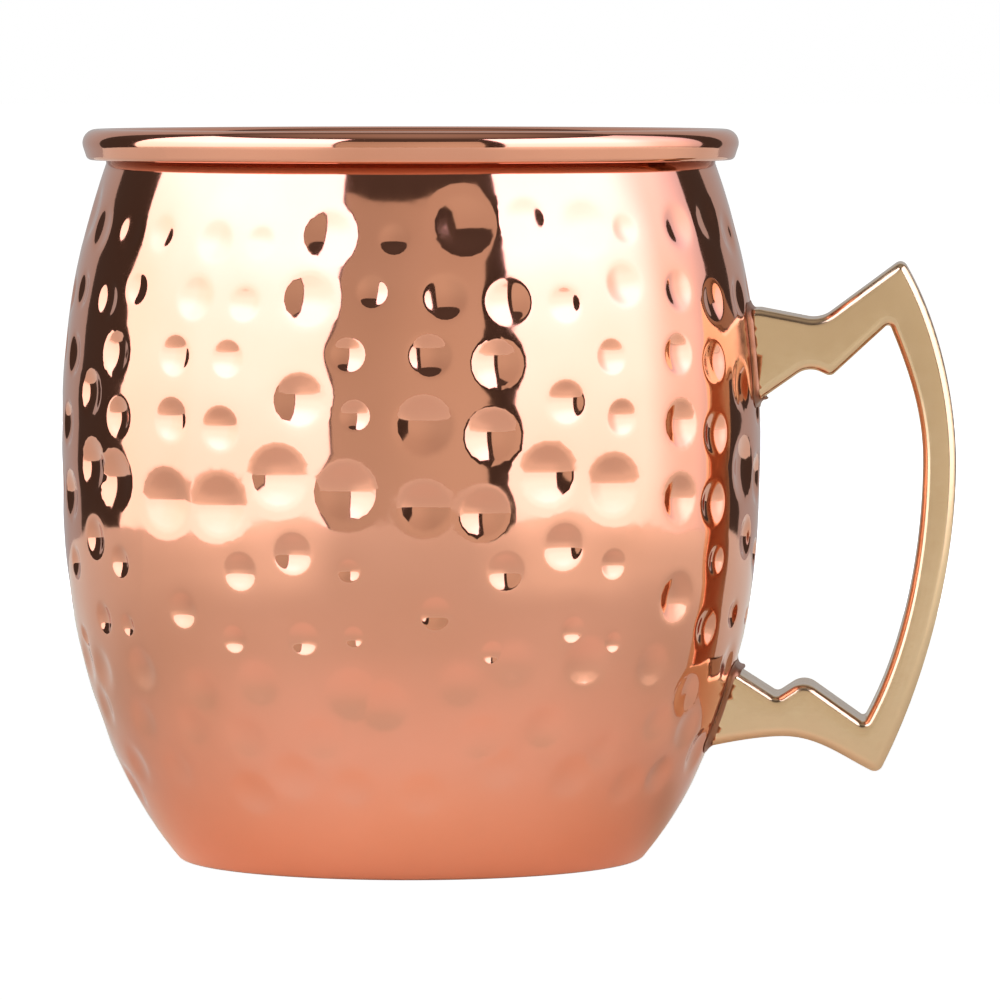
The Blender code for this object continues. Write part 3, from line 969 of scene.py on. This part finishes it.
card("back_card", 140, 222, LOW, HIGH, FAR, glow("light_back", ("Z", [(0, 0.46), (0.5, 0.5)])))


def disc(name, radius, z, material):
    bm = bmesh.new()
    bmesh.ops.create_circle(bm, cap_ends=True, radius=radius, segments=128)
    item = object_from(bm, name)
    item.location.z = z
    item.data.materials.append(material)
    return item


def pale(name, colour, lift):
    material = bpy.data.materials.new(name)
    material.use_nodes = True
    shader = material.node_tree.nodes["Principled BSDF"]
    shader.inputs["Base Color"].default_value = (*colour, 1)
    shader.inputs["Roughness"].default_value = 0.9
    shader.inputs["Specular IOR Level"].default_value = 0.0
    shader.inputs["Emission Color"].default_value = (1, 1, 1, 1)
    shader.inputs["Emission Strength"].default_value = lift
    return material


# By distance from the mug, in metres: the table's tint with painted copper bounce light close to it, and the
# painted sheen; the last one, where the painted sheen shows, by degrees from the side that faces the camera
TABLE_TINT_AND_PAINTED_BOUNCE = [(0.034, (0.84, 0.74, 0.52)), (0.06, (0.83, 0.81, 0.65)),
                 (0.12, (0.73, 0.74, 0.585)), (0.24, (0.69, 0.71, 0.565))]
# painted sheen: the table glows toward its edge, strongest on the sides under the softboxes
TABLE_PAINTED_SHEEN = [(0.15, (0.02, 0.02, 0.02)), (0.25, (0.3, 0.32, 0.3)), (0.48, (0.62, 0.66, 0.66))]
PAINTED_SHEEN_SIDES = [(-93, 0.3), (-38, 1.0), (-18, 0.15), (18, 0.15), (40, 1.0), (100, 0.7), (125, 0.2)]
TABLE_RADIUS, FLOOR_RADIUS, FLOOR_Z = 0.48, 20, -0.0004


def table_material():
    """Table: warmer close to the mug with painted copper bounce light, and with a painted sheen glowing under
    the softboxes toward its edge.
    """
    material = pale("table_white", (0.7, 0.72, 0.585), 1.0)
    tree = material.node_tree
    coords = tree.nodes.new("ShaderNodeTexCoord").outputs["Object"]
    reach = tree.nodes.new("ShaderNodeVectorMath")
    reach.operation = "LENGTH"
    tree.links.new(coords, reach.inputs[0])
    split = tree.nodes.new("ShaderNodeSeparateXYZ")
    tree.links.new(coords, split.inputs[0])
    turn = tree.nodes.new("ShaderNodeMath")
    turn.operation = "ARCTAN2"
    tree.links.new(split.outputs["Y"], turn.inputs[0])
    tree.links.new(split.outputs["X"], turn.inputs[1])
    # painted copper bounce light: the table's colour is warmer close to the mug
    near = fade(tree, reach.outputs["Value"], TABLE_TINT_AND_PAINTED_BOUNCE)
    # painted sheen, by distance from the mug and by side, given to the table as its glow
    edge = fade(tree, reach.outputs["Value"], TABLE_PAINTED_SHEEN)
    sides = fade(tree, turn.outputs[0], [(math.radians(a) + FRONT, share) for a, share in PAINTED_SHEEN_SIDES])
    shader = tree.nodes["Principled BSDF"]
    tree.links.new(near, shader.inputs["Base Color"])
    tree.links.new(times(tree, edge, sides), shader.inputs["Emission Color"])
    return material


floor = disc("floor", FLOOR_RADIUS, FLOOR_Z, pale("floor_white", (0.85, 0.85, 0.85), 0.97))
table = disc("table", TABLE_RADIUS, FLOOR_Z, table_material())
for way in ("diffuse", "glossy", "transmission", "shadow"):
    setattr(floor, "visible_" + way, False)
table.visible_camera = False

world = bpy.data.worlds.new("studio")
bpy.context.scene.world = world
world.use_nodes = True
tree = world.node_tree
tree.nodes.clear()
room = tree.nodes.new("ShaderNodeBackground")
where = tree.nodes.new("ShaderNodeTexCoord")
split = tree.nodes.new("ShaderNodeSeparateXYZ")
height = tree.nodes.new("ShaderNodeValToRGB")
low, high = height.color_ramp.elements[0], height.color_ramp.elements[1]
low.position, low.color = 0.3, (0.065, 0.058, 0.052, 1)
high.position, high.color = 0.82, (0.11, 0.1, 0.095, 1)
overhead = height.color_ramp.elements.new(1.0)
overhead.color = (0.4, 0.385, 0.365, 1)
tree.links.new(where.outputs["Generated"], split.inputs[0])
tree.links.new(split.outputs["Z"], height.inputs[0])
tree.links.new(height.outputs[0], room.inputs["Color"])
white = tree.nodes.new("ShaderNodeBackground")
white.inputs["Color"].default_value = (1, 1, 1, 1)
rays = tree.nodes.new("ShaderNodeLightPath")
either = tree.nodes.new("ShaderNodeMixShader")
output = tree.nodes.new("ShaderNodeOutputWorld")
tree.links.new(rays.outputs["Is Camera Ray"], either.inputs[0])
tree.links.new(room.outputs[0], either.inputs[1])
tree.links.new(white.outputs[0], either.inputs[2])
tree.links.new(either.outputs[0], output.inputs["Surface"])

EYE, TARGET = (0.0671, -1.0479, 0.1087), (0.0122, 0.0006, 0.0491)     # in metres
LENS, SENSOR = 275.8, 36        # in mm
data = bpy.data.cameras.new("camera")
data.lens = LENS
data.sensor_width = SENSOR
data.clip_end = 100
camera = bpy.data.objects.new("camera", data)
bpy.context.scene.collection.objects.link(camera)
bpy.context.scene.camera = camera
camera.location = EYE
aim = Vector(TARGET) - camera.location
camera.rotation_euler = aim.to_track_quat("-Z", "Y").to_euler()
bpy.context.scene.view_settings.view_transform = "Standard"
